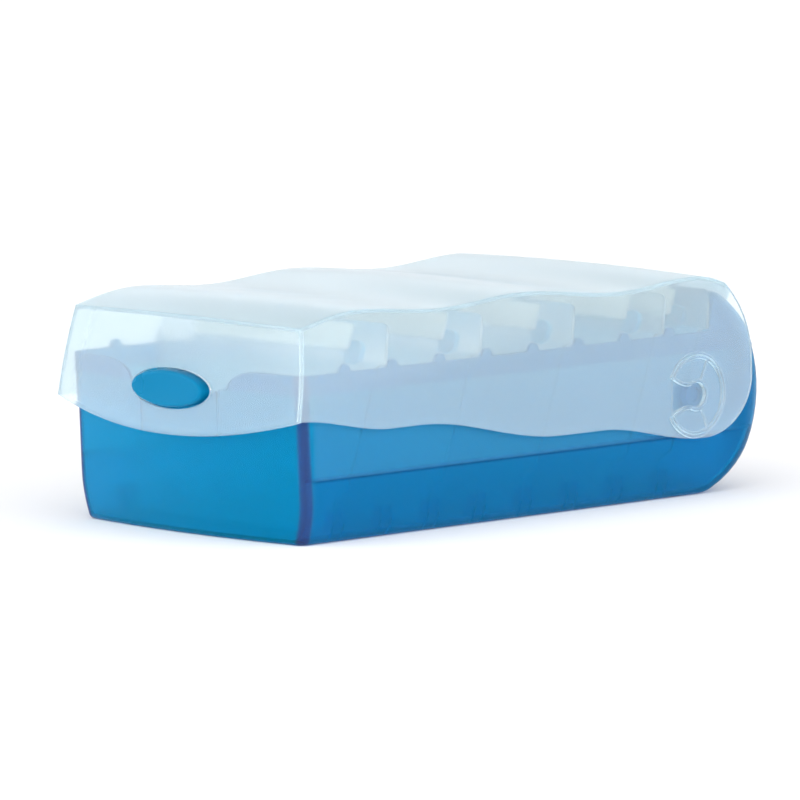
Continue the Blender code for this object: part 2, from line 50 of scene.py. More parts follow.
# Tray, in metres
FRONT_Y = HINGE.y - 0.2154
WALL = 0.0018
FLOOR = FEET[0].z
FLOOR_HALF = 0.0610
TRAY_HALF = 0.0648
TUCK_HEIGHT = 0.019
BAND_Z = 0.0588
BAND_STEP = 0.0004
RIM_Z = 0.0667
LEDGE_Z = 0.0248
LEDGE_STEP = 0.0015
FRONT_LEAN = 0.0040 / RIM_Z
BOW = 0.0051
FRONT_CORNER = 0.0040
REAR_CORNER = (0.0050, 0.0120)
CHEEK_TOP_Z = 0.0820
CHEEK_TAPER = 0.12
DRUM_RADIUS = 0.0450
BASE_FILLET = 0.0014
FLOOR_FILLET = 0.0025
PIN_RADIUS = 0.0050
PIN_TIP_X = 0.0676
HINGE_SKIN = 0.0005
GAP = 0.0003

# Latch
LATCH_ROOT_Z = 0.0405
LATCH_HALF = 0.0214
LATCH_TOP_Z = 0.0576
SLIT = 0.0003
DIP_Z = 0.0587
DIP_HALF = 0.0270
SHOULDER_HALF = 0.0430
BUTTON_Z = 0.0578
BUTTON_HALF = (0.0198, 0.0072)
BUTTON_FACE_Y = FRONT_Y - 0.0152
HOLE_HALF = (0.0220, 0.0080)

# Card slots
SLOT_PITCH = 0.0263
FIRST_SLOT_Y = FRONT_Y + 0.0192
SLOT_COUNT = 8
SLOT_WIDTH = 0.0046
SLOT_RIB = (0.0055, 0.0012, 0.0120)
TAB_WIDTH = 0.0061
TAB_HEIGHT = 0.0031

# Lid
LID_WALL = 0.0016
LID_HALF = 0.0684
PINCH_FRONT = 0.0046
PINCH_REAR = 0.0012
PINCH_Z = 0.0450
PINCH_RISE = 0.0400
PINCH_RUN = 0.150
LID_FRONT_Y = FRONT_Y - 0.0034
LID_FRONT_TOP_Z = 0.0851
LID_FRONT_LOW_Z = 0.0495
LID_FRONT_CENTRE_Z = 0.0400
LID_FLARE = 0.0056
LID_RADIUS = 0.0479
LID_REAR_ANGLE = math.radians(32)
LID_CORNER_ANGLE = math.radians(67)
CROWN = 0.0014
WAVE_TOP = [(0.0286, 0.0902), (0.0715, 0.0878), (0.1172, 0.0907), (0.1725, 0.0869), (0.2154, 0.0898)]
WAVE_LOW = [(-0.0090, 0.0495), (0.0420, 0.0431), (0.0570, 0.0431), (0.1380, 0.0321), (0.1600, 0.0321),
            (0.2210, 0.0240)]
EGG_CENTRE_Z = 0.0480
EGG_HALF_WIDTH = 0.0282

# Dividers
DIVIDER_THICKNESS = 0.0014
DIVIDER_LEAN = math.radians(19)
DIVIDER_TOP_Z = 0.0829
BODY_HALF_LOW = 0.0535
BODY_HALF = 0.0596
FOOT_HALF = 0.0568
FOOT_HEIGHT = 0.0020
HEAD_HALF_LOW = 0.0643
HEAD_HALF_TOP = 0.0612


# ---------------------------------------------------------------- helpers

def ease(t):
    """A half cosine wave from 0 to 1."""
    return 0.5 - 0.5 * math.cos(math.pi * min(max(t, 0.0), 1.0))


def wave(distance, crests):
    """Height of a wave that runs level at each (distance, height) in crests."""
    for (start, low), (end, high) in zip(crests, crests[1:]):
        if distance <= end:
            return low + (high - low) * ease((distance - start) / (end - start))
    return crests[-1][1]


def arc(centre, radii, start, end, count):
    """Points of an elliptical arc, both ends included."""
    points = []
    for i in range(count + 1):
        angle = start + (end - start) * i / count
        points.append((centre[0] + radii[0] * math.cos(angle), centre[1] + radii[1] * math.sin(angle)))
    return points


def finish_mesh(name, bm, sharp_degrees=32):
    """Turns a bmesh into a smooth-shaded object in the scene."""
    bmesh.ops.recalc_face_normals(bm, faces=bm.faces)
    mesh = bpy.data.meshes.new(name)
    bm.to_mesh(mesh)
    bm.free()
    mesh.shade_smooth()
    mesh.set_sharp_from_angle(angle=math.radians(sharp_degrees))
    obj = bpy.data.objects.new(name, mesh)
    bpy.context.scene.collection.objects.link(obj)
    return obj


def applied(obj, sharp_degrees=32):
    """Applies an object's modifiers and returns the object."""
    bpy.context.view_layer.update()
    evaluated = obj.evaluated_get(bpy.context.evaluated_depsgraph_get())
    mesh = bpy.data.meshes.new_from_object(evaluated)
    obj.modifiers.clear()
    obj.data = mesh
    mesh.shade_smooth()
    mesh.set_sharp_from_angle(angle=math.radians(sharp_degrees))
    return obj


def combine(target, tools, operation):
    """Joins tools to a target, or cuts them out of it, and removes them."""
    for tool in tools:
        modifier = target.modifiers.new(tool.name, "BOOLEAN")
        modifier.operation = operation
        modifier.solver = "EXACT"
        modifier.object = tool
    applied(target)
    for tool in tools:
        bpy.data.objects.remove(tool, do_unlink=True)
    return target


def bridge(bm, near, far, closed=False):
    """Quads between two equal rows of vertices."""
    count = len(near)
    for k in range(count if closed else count - 1):
        j = (k + 1) % count
        bm.faces.new((near[k], near[j], far[j], far[k]))


def plate(name, outline, thickness, placement, edge=0.0):
    """A plate cut to an outline in XY, with softened edges, moved by a placement matrix."""
    bm = bmesh.new()
    low = [bm.verts.new((x, y, -thickness / 2)) for x, y in outline]
    high = [bm.verts.new((x, y, thickness / 2)) for x, y in outline]
    bridge(bm, low, high, closed=True)
    bm.faces.new(list(reversed(low)))
    bm.faces.new(high)
    if edge:
        rim = [e for e in bm.edges if abs(e.verts[0].co.z - e.verts[1].co.z) < 1e-7]
        bmesh.ops.bevel(bm, geom=rim, offset=edge, segments=3, profile=0.5, affect="EDGES")
    bmesh.ops.transform(bm, matrix=placement, verts=bm.verts)
    return finish_mesh(name, bm)


def across(x):
    """Placement for an outline drawn in (y, z), whose plate stands across X."""
    return Matrix.Translation((x, 0, 0)) @ Matrix(((0, 0, 1, 0), (1, 0, 0, 0), (0, 1, 0, 0), (0, 0, 0, 1)))


def facing_front(y):
    """Placement for an outline drawn in (x, z), whose plate stands along Y."""
    return Matrix.Translation((0, y, 0)) @ Matrix.Rotation(math.radians(90), 4, "X")


def tube(name, path, radius):
    """A round bead along a path, with rounded ends, as a mesh."""
    curve = bpy.data.curves.new(name, "CURVE")
    curve.dimensions = "3D"
    curve.bevel_depth = radius
    curve.bevel_resolution = 3
    curve.use_fill_caps = True
    spline = curve.splines.new("POLY")
    spline.points.add(len(path) - 1)
    for point, co in zip(spline.points, path):
        point.co = (*co, 1.0)
    guide = bpy.data.objects.new(name + "_path", curve)
    bpy.context.scene.collection.objects.link(guide)
    bpy.context.view_layer.update()
    evaluated = guide.evaluated_get(bpy.context.evaluated_depsgraph_get())
    bm = bmesh.new()
    bm.from_mesh(bpy.data.meshes.new_from_object(evaluated))
    bpy.data.objects.remove(guide, do_unlink=True)
    bmesh.ops.remove_doubles(bm, verts=bm.verts, dist=0.00001)
    return finish_mesh(name, bm)


# ---------------------------------------------------------------- tray

def tray_half(z):
    """Half-width of the tray's outside: tucked in at the floor, stepped out at the rim band."""
    if z < TUCK_HEIGHT:
        return TRAY_HALF - (TRAY_HALF - FLOOR_HALF) * (1 - z / TUCK_HEIGHT) ** 2
    if z > RIM_Z:
        return TRAY_HALF - CHEEK_TAPER * (z - RIM_Z)
    taper = BAND_STEP * min((z - TUCK_HEIGHT) / (BAND_Z - TUCK_HEIGHT), 1.0)
    return TRAY_HALF - taper + BAND_STEP * ease((z - BAND_Z + BAND_STEP) / BAND_STEP)


def tray_columns():
    """Places round the tray's plan, as (kind, share) pairs from the front left corner anticlockwise."""
    front = [("front", -1 + 2 * i / 90) for i in range(91)]
    slot_edges = [side * (LATCH_HALF + SLIT + step) for side in (-1, 1) for step in (-0.0001, 0.0001)]
    straight = tray_half(DIP_Z) - FRONT_CORNER
    front += [("front", x / straight) for x in slot_edges]
    front.sort(key=lambda column: column[1])
    corner = [("front_corner", i / 8) for i in range(1, 9)]
    side = [("side", i / 48 * 0.9) for i in range(1, 49)]
    side += [("side", 0.9 + 0.1 * i / 16) for i in range(1, 17)]
    rear = [("rear_corner", i / 28) for i in range(1, 29)]
    right = corner + side + rear
    left = [(kind + "_left", share) for kind, share in reversed(right)]
    back = [("rear", 1 - 2 * i / 24) for i in range(1, 24)]
    return front + right + back + left


def plan_point(kind, share, z, inset):
    """A point of the tray's plan outline at one height, pulled in by inset."""
    half = tray_half(z) - inset
    front = FRONT_Y - FRONT_LEAN * z + min(inset, WALL)
    drum = max(DRUM_RADIUS - inset, 0.0)
    rear = HINGE.y + math.sqrt(max(drum ** 2 - (z - HINGE.z) ** 2, 0.0))
    corner = max(FRONT_CORNER - inset, 0.0006)
    straight = half - corner
    width = REAR_CORNER[0] - min(inset, 0.0030)
    length = (REAR_CORNER[1] - inset) * min(0.5 + 0.5 * z / HINGE.z, 1.0)
    corner_y = front - BOW * (1 - (straight / half) ** 2) + corner
    side = -1 if kind.endswith("_left") else 1
    kind = kind.replace("_left", "")
    if kind == "front":
        x = straight * share
        return Vector((x, front - BOW * (1 - (x / half) ** 2), z))
    if kind == "front_corner":
        angle = -math.pi / 2 * (1 - share)
        return Vector((side * (straight + corner * math.cos(angle)), corner_y + corner * math.sin(angle), z))
    if kind == "side":
        return Vector((side * half, corner_y + (rear - length - corner_y) * share, z))
    if kind == "rear_corner":
        angle = math.pi / 2 * share
        return Vector((side * (half - width + width * math.cos(angle)),
                       rear - length + length * math.sin(angle), z))
    return Vector((share * (half - width), rear, z))


def rim_height(point):
    """Height of the tray's edge over a place in plan: rim, front dip, latch slot or rear cheek."""
    if point.y < FRONT_Y and abs(point.x) < SHOULDER_HALF:
        if abs(point.x) < LATCH_HALF + SLIT:
            return LATCH_ROOT_Z - GAP
        short = (SHOULDER_HALF - max(abs(point.x), DIP_HALF)) / (SHOULDER_HALF - DIP_HALF)
        return DIP_Z + (RIM_Z - DIP_Z) * math.sqrt(1 - short ** 2)
    lean = math.tan(DIVIDER_LEAN)
    back = (DIVIDER_THICKNESS / 2 + GAP) / math.cos(DIVIDER_LEAN)
    cheek_y = FEET[-1].y + lean * (RIM_Z - FLOOR) + back
    return min(max(RIM_Z, RIM_Z + (point.y - cheek_y) / lean), CHEEK_TOP_Z)


def column_top(kind, share):
    """Height at which a column of the tray's wall meets the rim."""
    low, high = 0.030, CHEEK_TOP_Z
    for _ in range(30):
        middle = (low + high) / 2
        if rim_height(plan_point(kind, share, middle, 0.0)) > middle:
            low = middle
        else:
            high = middle
    return low


def wall_heights(low, limit):
    """Row heights up one column, kept level below the rim and spread above it."""
    level = 0.064
    base = min(level, limit * level / (RIM_Z - WALL / 2))
    steps = [0.05, 0.10, 0.15, 0.20, 0.25, 0.30, 0.36, 0.44, 0.52, 0.60, 0.68, 0.76, 0.84, 0.895, 0.908,
             0.911, 0.914, 0.917, 0.920, 0.95, 1.0]
    heights = [low + (base - low) * step for step in steps]
    return heights + [base + (limit - base) * i / 8 for i in range(1, 9)]


def profile(kind, share):
    """(inset, z) pairs of one column: base fillet, outside, rounded rim, inside, ledge, floor fillet."""
    radius = WALL / 2
    limit = column_top(kind, share) - radius
    points = []
    for i in range(5):
        angle = math.pi / 2 * i / 4
        points.append((BASE_FILLET * (1 - math.sin(angle)), BASE_FILLET * (1 - math.cos(angle))))
    points += [(0.0, z) for z in wall_heights(BASE_FILLET, limit)]
    for i in range(1, 8):
        angle = math.pi * i / 8
        points.append((radius * (1 - math.cos(angle)), limit + radius * math.sin(angle)))
    ledge = LEDGE_Z + LEDGE_STEP
    points += [(WALL, z) for z in reversed(wall_heights(ledge, limit))]
    inner = WALL + LEDGE_STEP
    points += [(WALL, ledge), (WALL + 0.4 * LEDGE_STEP, LEDGE_Z + 0.7 * LEDGE_STEP), (inner, LEDGE_Z)]
    floor_top = FLOOR + FLOOR_FILLET
    points += [(inner, LEDGE_Z + (floor_top - LEDGE_Z) * i / 5) for i in range(1, 6)]
    for i in range(1, 6):
        angle = math.pi / 2 * i / 5
        inset = inner + FLOOR_FILLET * (1 - math.cos(angle))
        points.append((inset, floor_top - FLOOR_FILLET * math.sin(angle)))
    return points


def tray_wall():
    """The tray's shell as rows of points swept round its plan."""
    bm = bmesh.new()
    columns = []
    for kind, share in tray_columns():
        columns.append([bm.verts.new(plan_point(kind, share, z, inset)) for inset, z in profile(kind, share)])
    for near, far in zip(columns, columns[1:] + columns[:1]):
        bridge(bm, near, far)
    bm.faces.new([column[0] for column in columns])
    bm.faces.new([column[-1] for column in reversed(columns)])
    return finish_mesh("tray_shell", bm)


def slot_ribs():
    """Pairs of ribs at the side walls, which hold the dividers' feet."""
    depth, thickness, height = SLOT_RIB
    inner = BODY_HALF_LOW + 0.0010
    outline = [(inner, FLOOR / 2), (inner + depth, FLOOR / 2), (inner + depth, height),
               (inner + depth * 0.45, height), (inner, height * 0.45)]
    mirrored = [(-x, z) for x, z in reversed(outline)]
    ribs = []
    for k in range(SLOT_COUNT):
        for way in (-1, 1):
            y = FIRST_SLOT_Y + SLOT_PITCH * k + way * (SLOT_WIDTH + thickness) / 2
            ribs.append(plate(f"rib_right_{k}_{way}", outline, thickness, facing_front(y), 0.0002))
            ribs.append(plate(f"rib_left_{k}_{way}", mirrored, thickness, facing_front(y), 0.0002))
    return ribs


def rim_tabs():
    """Round-topped tabs on both side rims, which the dividers' ears lean on."""
    tabs = []
    radius = TAB_WIDTH / 2
    for k in range(SLOT_COUNT):
        centre = FIRST_SLOT_Y + SLOT_PITCH * k
        outline = [(centre - radius, RIM_Z - 0.0015), (centre + radius, RIM_Z - 0.0015)]
        outline += arc((centre, RIM_Z), (radius, TAB_HEIGHT), 0, math.pi, 16)
        for side in (-1, 1):
            tabs.append(plate(f"tab_{k}_{side}", outline, WALL * 0.8, across(side * (TRAY_HALF - WALL / 2)),
                              0.0003))
    return tabs


def turned(name, rings, side):
    """A round solid along X at the hinge, from (radius, x) pairs listed from the root outwards."""
    bm = bmesh.new()
    segments = 48
    rows = []
    for radius, x in rings:
        circle = arc((HINGE.y, HINGE.z), (radius, radius), 0, 2 * math.pi * (1 - 1 / segments), segments - 1)
        rows.append([bm.verts.new((side * x, y, z)) for y, z in circle])
    for near, far in zip(rows, rows[1:]):
        bridge(bm, near, far, closed=True)
    bm.faces.new(rows[0])
    bm.faces.new(list(reversed(rows[-1])))
    return finish_mesh(name, bm)


def trunnions():
    """The round bosses that the lid turns on, with a dished end."""
    root = TRAY_HALF - WALL * 0.7
    edge = 0.0005
    dish = 0.0029
    tip = PIN_TIP_X
    rings = [(PIN_RADIUS, root), (PIN_RADIUS, tip - edge), (PIN_RADIUS - edge * 0.3, tip - edge * 0.3),
             (PIN_RADIUS - edge, tip), (dish + edge, tip), (dish, tip - edge), (dish * 0.9, tip - 0.0012)]
    return [turned(f"trunnion_{side}", rings, side) for side in (-1, 1)]


def build_tray():
    """The blue tray, moulded in one with its ribs, tabs and trunnions."""
    tray = tray_wall()
    combine(tray, slot_ribs() + rim_tabs() + trunnions(), "UNION")
    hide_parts("tray")
    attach(tray, "tray")
    return tray


# ---------------------------------------------------------------- latch

def oval_ring(bm, halves, y, segments=72):
    """A ring of vertices round the latch button's oval."""
    step = 2 * math.pi / segments
    points = arc((0.0, BUTTON_Z), halves, step / 2, 2 * math.pi - step / 2, segments - 1)
    return [bm.verts.new((x, y, z)) for x, z in points]


def button_cap():
    """The oval push button: straight side wall, rounded edge, gently domed face, hollow behind."""
    bm = bmesh.new()
    back_y = FRONT_Y - FRONT_LEAN * BUTTON_Z - BOW + WALL * 0.5
    edge = 0.0012
    thickness = 0.0016
    rows = [oval_ring(bm, BUTTON_HALF, back_y)]
    for i in range(6):
        angle = math.pi / 2 * i / 5
        inset = edge * (1 - math.cos(angle))
        y = BUTTON_FACE_Y + edge * (1 - math.sin(angle))
        rows.append(oval_ring(bm, [half - inset for half in BUTTON_HALF], y))
    for share in (0.85, 0.65, 0.4, 0.15):
        y = BUTTON_FACE_Y + 0.0003 * (1 - share ** 2)
        rows.append(oval_ring(bm, [(half - edge) * share for half in BUTTON_HALF], y))
    for near, far in zip(rows, rows[1:]):
        bridge(bm, near, far, closed=True)
    bm.faces.new(rows[-1])
    hollow = [half - thickness for half in BUTTON_HALF]
    inner = [oval_ring(bm, hollow, back_y)]
    inner.append(oval_ring(bm, hollow, BUTTON_FACE_Y + thickness + 0.0006))
    inner.append(oval_ring(bm, [half - 2 * thickness for half in BUTTON_HALF], BUTTON_FACE_Y + thickness))
    for near, far in zip(inner, inner[1:]):
        bridge(bm, near, far, closed=True)
    bm.faces.new(inner[-1])
    bridge(bm, rows[0], inner[0], closed=True)
    return finish_mesh("button_cap", bm, 40)


def tongue_strip():
    """The springy strip of the bowed front wall that carries the button; build_latch cuts the oval window
    behind it.
    """
    bm = bmesh.new()
    columns, rows = 40, 16
    skins = []
    for depth in (0.0, WALL):
        grid = []
        for r in range(rows + 1):
            z = LATCH_ROOT_Z + (LATCH_TOP_Z - LATCH_ROOT_Z) * r / rows
            half = tray_half(z)
            front = FRONT_Y - FRONT_LEAN * z + depth
            xs = [LATCH_HALF * (2 * i / columns - 1) for i in range(columns + 1)]
            grid.append([bm.verts.new((x, front - BOW * (1 - (x / half) ** 2), z)) for x in xs])
        skins.append(grid)
    for grid in skins:
        for near, far in zip(grid, grid[1:]):
            bridge(bm, near, far)
    outer, inner = skins
    bridge(bm, outer[0], inner[0])
    bridge(bm, outer[-1], inner[-1])
    bridge(bm, [row[0] for row in outer], [row[0] for row in inner])
    bridge(bm, [row[-1] for row in outer], [row[-1] for row in inner])
    tongue = finish_mesh("latch_button", bm)
    soften = tongue.modifiers.new("soften", "BEVEL")
    soften.width = 0.0005
    soften.segments = 3
    soften.limit_method = "ANGLE"
    soften.angle_limit = math.radians(60)
    return applied(tongue)


def build_latch():
    """The push latch: the tongue with its oval button."""
    latch = tongue_strip()
    window = plate("window", arc((0.0, BUTTON_Z), [half - 0.0017 for half in BUTTON_HALF], 0.05,
                                 2 * math.pi - 0.05, 63), 0.012, facing_front(FRONT_Y - 0.006))
    combine(latch, [window], "DIFFERENCE")
    combine(latch, [button_cap()], "UNION")
    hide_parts("latch_tongue")
    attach(latch, "latch")
    return latch


# ---------------------------------------------------------------- lid

def lid_half(y, z):
    """Half-width of the lid's outside, drawn in towards the top."""
    run = min(max((y - FRONT_Y) / PINCH_RUN, 0.0), 1.0)
    pinch = PINCH_FRONT + (PINCH_REAR - PINCH_FRONT) * run
    lift = max(z - PINCH_Z, 0.0) / PINCH_RISE
    return LID_HALF - pinch * lift ** 2


def lid_front(z):
    """Y of the lid's front corners at one height."""
    return LID_FRONT_Y - LID_FLARE * (LID_FRONT_TOP_Z - z) / (LID_FRONT_TOP_Z - LID_FRONT_LOW_Z)


def lid_column(across_share, steps, turns):
    """(y, z) points over the lid, front to rear, at a share of its half-width (0 centre, 1 side edge)."""
    bulge = 1 - across_share ** 2
    crests = [(FRONT_Y + distance, height) for distance, height in WAVE_TOP]
    first_y, first_z = crests[0]
    points = []
    for i in range(steps):
        y = LID_FRONT_Y + (HINGE.y - LID_FRONT_Y) * i / steps
        if y < first_y:
            rise = (y - LID_FRONT_Y) / (first_y - LID_FRONT_Y)
            z = LID_FRONT_TOP_Z + (first_z - LID_FRONT_TOP_Z) * math.sin(rise * math.pi / 2)
            y -= BOW * bulge * (1 - rise)
        else:
            z = wave(y, crests)
        points.append((y, z + CROWN * bulge))
    end_angle = LID_REAR_ANGLE + (LID_CORNER_ANGLE - LID_REAR_ANGLE) * across_share ** 4
    for i in range(turns + 1):
        angle = math.pi / 2 - (math.pi / 2 - end_angle) * i / turns
        radius = LID_RADIUS + CROWN * bulge * (1 - i / turns)
        points.append((HINGE.y + radius * math.cos(angle), HINGE.z + radius * math.sin(angle)))
    return points


def lid_low_edge(steps, turns):
    """(y, z) along the lower side edge, one point for each point of lid_column."""
    crests = [(FRONT_Y + distance, height) for distance, height in WAVE_LOW]
    start_y = lid_front(LID_FRONT_LOW_Z)
    end_y = crests[-1][0]
    points = [(start_y, LID_FRONT_LOW_Z)]
    for i in range(1, steps):
        y = start_y + (end_y - start_y) * i / steps
        points.append((y, wave(y, crests)))
    radii = (EGG_HALF_WIDTH, EGG_CENTRE_Z - crests[-1][1])
    egg_turns = turns * 2 // 3
    points += arc((end_y, EGG_CENTRE_Z), radii, -math.pi / 2, 0, egg_turns)
    corner_y = HINGE.y + LID_RADIUS * math.cos(LID_CORNER_ANGLE)
    corner_z = HINGE.z + LID_RADIUS * math.sin(LID_CORNER_ANGLE)
    rest = turns - egg_turns
    for i in range(1, rest + 1):
        y = end_y + EGG_HALF_WIDTH + (corner_y - end_y - EGG_HALF_WIDTH) * (i / rest) ** 2.7
        points.append((y, EGG_CENTRE_Z + (corner_z - EGG_CENTRE_Z) * i / rest))
    return points


def lid_skin(steps, turns, columns, rows):
    """The lid's outer skin as one open surface: top, rear shell, front and both sides."""
    bm = bmesh.new()
    spread = [2 * j / columns - 1 for j in range(columns + 1)]
    edge = lid_column(1.0, steps, turns)
    low_edge = lid_low_edge(steps, turns)
    top = [[bm.verts.new((t * lid_half(y, z), y, z)) for y, z in lid_column(abs(t), steps, turns)]
           for t in spread]
    front = []
    for t, column in zip(spread, top):
        bulge = 1 - t * t
        high = LID_FRONT_TOP_Z + CROWN * bulge
        low = LID_FRONT_LOW_Z + (LID_FRONT_CENTRE_Z - LID_FRONT_LOW_Z) * bulge
        down = [column[0]]
        for r in range(1, rows + 1):
            z = high + (low - high) * r / rows
            y = lid_front(z)
            down.append(bm.verts.new((t * lid_half(y, z), y - BOW * bulge, z)))
        front.append(down)
    sides = []
    for sign, column in ((-1, top[0]), (1, top[-1])):
        side = []
        for vertex, (y0, z0), (y1, z1) in zip(column, edge, low_edge):
            down = [vertex]
            for r in range(1, rows + 1):
                y = y0 + (y1 - y0) * r / rows
                z = z0 + (z1 - z0) * r / rows
                down.append(bm.verts.new((sign * lid_half(y, z), y, z)))
            side.append(down)
        sides.append(side)
    for grid in [top, front] + sides:
        for near, far in zip(grid, grid[1:]):
            bridge(bm, near, far)
    bmesh.ops.remove_doubles(bm, verts=bm.verts, dist=0.00002)
    return finish_mesh("lid_shell", bm)


def add_bevel(obj, width, segments, degrees):
    """Rounds an object's edges that are sharper than an angle."""
    bevel = obj.modifiers.new("round_edges", "BEVEL")
    bevel.width = width
    bevel.segments = segments
    bevel.limit_method = "ANGLE"
    bevel.angle_limit = math.radians(degrees)


def slot_half(y):
    """Half-height of the hinge channel at a distance in front of the hinge: it flares to the disc."""
    neck, mouth, start, end = 0.0042, 0.0074, 0.0045, 0.0133
    return neck + (mouth - neck) * min(max((y - start) / (end - start), 0.0), 1.0) ** 2


def keyhole(grow=0.0):
    """(y, z) outline of the hinge pocket and its channel, from the upper mouth round to the lower."""
    eye = PIN_RADIUS + GAP + grow
    distances = [0.0133 - 0.0085 * i / 10 for i in range(11)]
    upper = [(HINGE.y - d, HINGE.z + slot_half(d) + grow) for d in distances]
    turn = math.pi - math.asin(min(slot_half(0.0045) / eye, 1.0))
    around = arc((HINGE.y, HINGE.z), (eye, eye), turn - 0.15, -turn + 0.15, 32)
    lower = [(y, 2 * HINGE.z - z) for y, z in reversed(upper)]
    return upper + around + lower


def on_side(side, path, lift=0.0):
    """Lays a (y, z) path on the lid's side, lifted off it by a small distance."""
    return [Vector((side * (lid_half(y, z) + lift), y, z)) for y, z in path]


def hinge_beads(side):
    """The raised double ring, spokes and channel lips round the hinge pocket."""
    beads = []
    for radius in (0.0154, 0.0169):
        start = math.pi - math.asin(0.0078 / radius)
        ring = arc((HINGE.y, HINGE.z), (radius, radius), start, -start, 80)
        beads.append(tube(f"ring_{side}_{radius}", on_side(side, ring, 0.0002), 0.0007))
    beads.append(tube(f"lips_{side}", on_side(side, keyhole(0.0005), 0.0002), 0.0009))
    for n, degrees in enumerate((64, -63)):
        angle = math.radians(degrees)
        reach = (0.0060, 0.0110, 0.0160)
        spoke = [(HINGE.y + r * math.cos(angle), HINGE.z + r * math.sin(angle)) for r in reach]
        beads.append(tube(f"spoke_{side}_{n}", on_side(side, spoke), 0.0008))
    return beads


def build_lid():
    """The clear lid, with rounded edges, latch hole, hinge pockets and raised hinge discs."""
    lid = lid_skin(110, 24, 44, 20)
    add_bevel(lid, 0.0026, 5, 45)
    wall = lid.modifiers.new("wall", "SOLIDIFY")
    wall.thickness = LID_WALL
    wall.offset = -1.0
    wall.use_even_offset = True
    applied(lid)
    add_bevel(lid, 0.0004, 2, 60)
    applied(lid)
    step = math.pi / 64
    oval = arc((0.0, BUTTON_Z), HOLE_HALF, step, 2 * math.pi - step, 63)
    tools = [plate("latch_hole", oval, 0.026, facing_front(FRONT_Y - 0.0175))]
    depth = 0.004
    middle = LID_HALF - HINGE_SKIN - depth / 2
    tools += [plate(f"pocket_{side}", keyhole(), depth, across(side * middle)) for side in (-1, 1)]
    combine(lid, tools, "DIFFERENCE")
    combine(lid, hinge_beads(-1) + hinge_beads(1), "UNION")
    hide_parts("lid")
    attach(lid, "lid")
    return lid


# ---------------------------------------------------------------- dividers

def divider_outline():
    """(x, distance up the plate): narrow body with feet, and a head whose ears reach over the rim."""
    slope = math.cos(DIVIDER_LEAN)
    ear = (RIM_Z + GAP - FLOOR) / slope + DIVIDER_THICKNESS * math.tan(DIVIDER_LEAN) / 2 + GAP
    top = (DIVIDER_TOP_Z - FLOOR) / slope
    neck, corner = 0.0024, 0.0030
    above_ribs = SLOT_RIB[2] / slope + 0.0025
    right = [(FOOT_HALF, GAP), (FOOT_HALF, GAP + FOOT_HEIGHT), (BODY_HALF_LOW, GAP + FOOT_HEIGHT + 0.002)]
    right += [(BODY_HALF_LOW, above_ribs - 0.0005), (BODY_HALF, above_ribs + 0.0030), (BODY_HALF, ear - neck)]
    right += arc((BODY_HALF + neck, ear - neck), (neck, neck), math.pi, math.pi / 2, 8)[1:]
    right += arc((HEAD_HALF_LOW - 0.0008, ear + 0.0008), (0.0008, 0.0008), -math.pi / 2, 0, 3)
    right += arc((HEAD_HALF_TOP - corner, top - corner), (corner, corner), 0.1, math.pi / 2, 8)
    return right + [(-x, v) for x, v in reversed(right)]


def rounded_box(width, height, radius, centre=(0.0, 0.0), steps=6):
    """Outline of a rectangle with round corners."""
    outline = []
    for turn, (sx, sy) in enumerate(((1, 1), (-1, 1), (-1, -1), (1, -1))):
        middle = (centre[0] + sx * (width / 2 - radius), centre[1] + sy * (height / 2 - radius))
        outline += arc(middle, (radius, radius), turn * math.pi / 2, (turn + 1) * math.pi / 2, steps)
    return outline


def build_divider(number, foot):
    """One frosted support plate with its card label and blue marker clip."""
    body = f"divider_{number}"
    upright = Matrix.Rotation(math.radians(90), 4, "X")
    place = Matrix.Translation(foot) @ Matrix.Rotation(-DIVIDER_LEAN, 4, "X") @ upright
    panel = plate(f"{body}_plate", divider_outline(), DIVIDER_THICKNESS, place, 0.00035)
    top = (DIVIDER_TOP_Z - FLOOR) / math.cos(DIVIDER_LEAN)
    rim = (RIM_Z - FLOOR) / math.cos(DIVIDER_LEAN)

    label_thickness = 0.0004
    in_front = Matrix.Translation((0, 0, DIVIDER_THICKNESS / 2 + GAP + label_thickness / 2))
    label = plate(f"{body}_card", rounded_box(0.086, 0.0105, 0.0012, (0.0, top - 0.00675)), label_thickness,
                  place @ in_front, 0.0001)

    clip_thickness = 0.0016
    behind = Matrix.Translation((0, 0, -(DIVIDER_THICKNESS / 2 + GAP + clip_thickness / 2)))
    clip_x = HEAD_HALF_LOW - 0.0203
    clip = plate(f"{body}_marker", rounded_box(0.0086, 0.0095, 0.0036, (clip_x, rim + 0.00475), 10),
                 clip_thickness, place @ behind, 0.0006)
    for piece, node, slot in ((panel, body, "frosted_plate"), (label, body + "_label", "label_card"),
                              (clip, body + "_clip", "blue_plastic")):
        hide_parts(node)
        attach(piece, body)
    return panel, label, clip


# ---------------------------------------------------------------- materials

class Nodes:
    """Short ways to add and link shader nodes."""

    def __init__(self, name, owner=None):
        self.owner = owner or bpy.data.materials.new(name)
        self.owner.use_nodes = True
        self.tree = self.owner.node_tree
        self.tree.nodes.clear()

    def add(self, kind, inputs=None, **settings):
        node = self.tree.nodes.new(kind)
        for key, value in settings.items():
            setattr(node, key, value)
        for key, value in (inputs or {}).items():
            if isinstance(value, bpy.types.NodeSocket):
                self.tree.links.new(value, node.inputs[key])
            else:
                node.inputs[key].default_value = value
        return node

    def finish(self, surface, volume=None):
        output = self.add("ShaderNodeOutputMaterial", {"Surface": surface})
        if volume:
            self.tree.links.new(volume, output.inputs["Volume"])
        return self.owner


